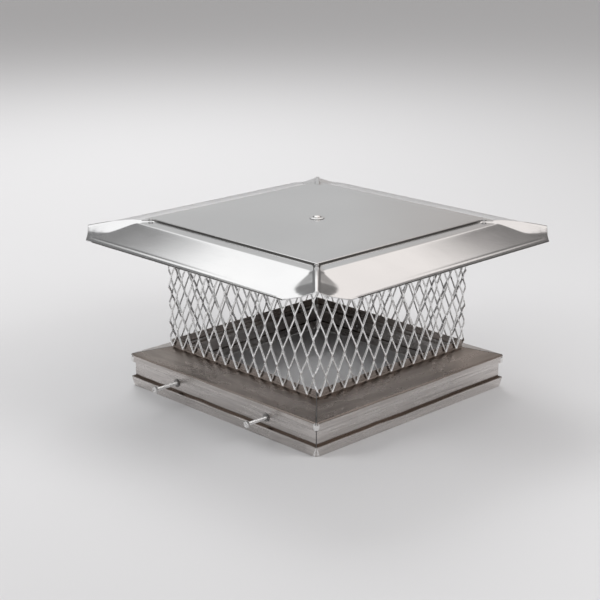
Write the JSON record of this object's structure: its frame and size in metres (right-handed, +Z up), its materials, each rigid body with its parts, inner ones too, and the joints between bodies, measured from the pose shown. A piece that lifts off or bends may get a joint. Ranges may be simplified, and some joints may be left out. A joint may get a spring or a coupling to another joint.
{
  "type": "chimney cap",
  "caption": "Square stainless chimney cap: hipped sheet lid over an expanded-metal cage, on a flanged base that clamps round a flue tile with long screws.",
  "frame": {"origin": "middle of the base's bottom edge, which is the middle of the square at the lowest level", "axes": "+Z up through the lid's bolt; X and Y along the sides of the square; the clamp screws stand out of the -Y and +Y sides"},
  "size_m": [0.4714, 0.4714, 0.2332],
  "materials": {
    "lid_sheet": "smooth mill-finish stainless sheet, soft reflections",
    "base_sheet": "smooth mill-finish stainless sheet, slightly warm",
    "mesh": "raised expanded stainless, satin",
    "strap": "mill-finish stainless strip",
    "fastener": "bright machined stainless",
    "washer": "dull grey sealing washer",
    "insert": "dark pressed-in steel sleeve"
  },
  "bodies": {
    "root": {"lid": "lid_sheet", "lid_bolt": "fastener", "lid_washer": "washer", "lid_nut": "fastener", "cross_strap_upper": "strap", "cross_strap_lower": "strap", "mesh_screen": "mesh", "base_rail_front": "base_sheet", "base_rail_right": "base_sheet", "base_rail_back": "base_sheet", "base_rail_left": "base_sheet", "clamp_screw_front_left": "fastener", "clamp_screw_front_right": "fastener", "clamp_screw_back_left": "fastener", "clamp_screw_back_right": "fastener", "clamp_nut_front_left": "insert", "clamp_nut_front_right": "insert", "clamp_nut_back_left": "insert", "clamp_nut_back_right": "insert"}
  },
  "joints": []
}
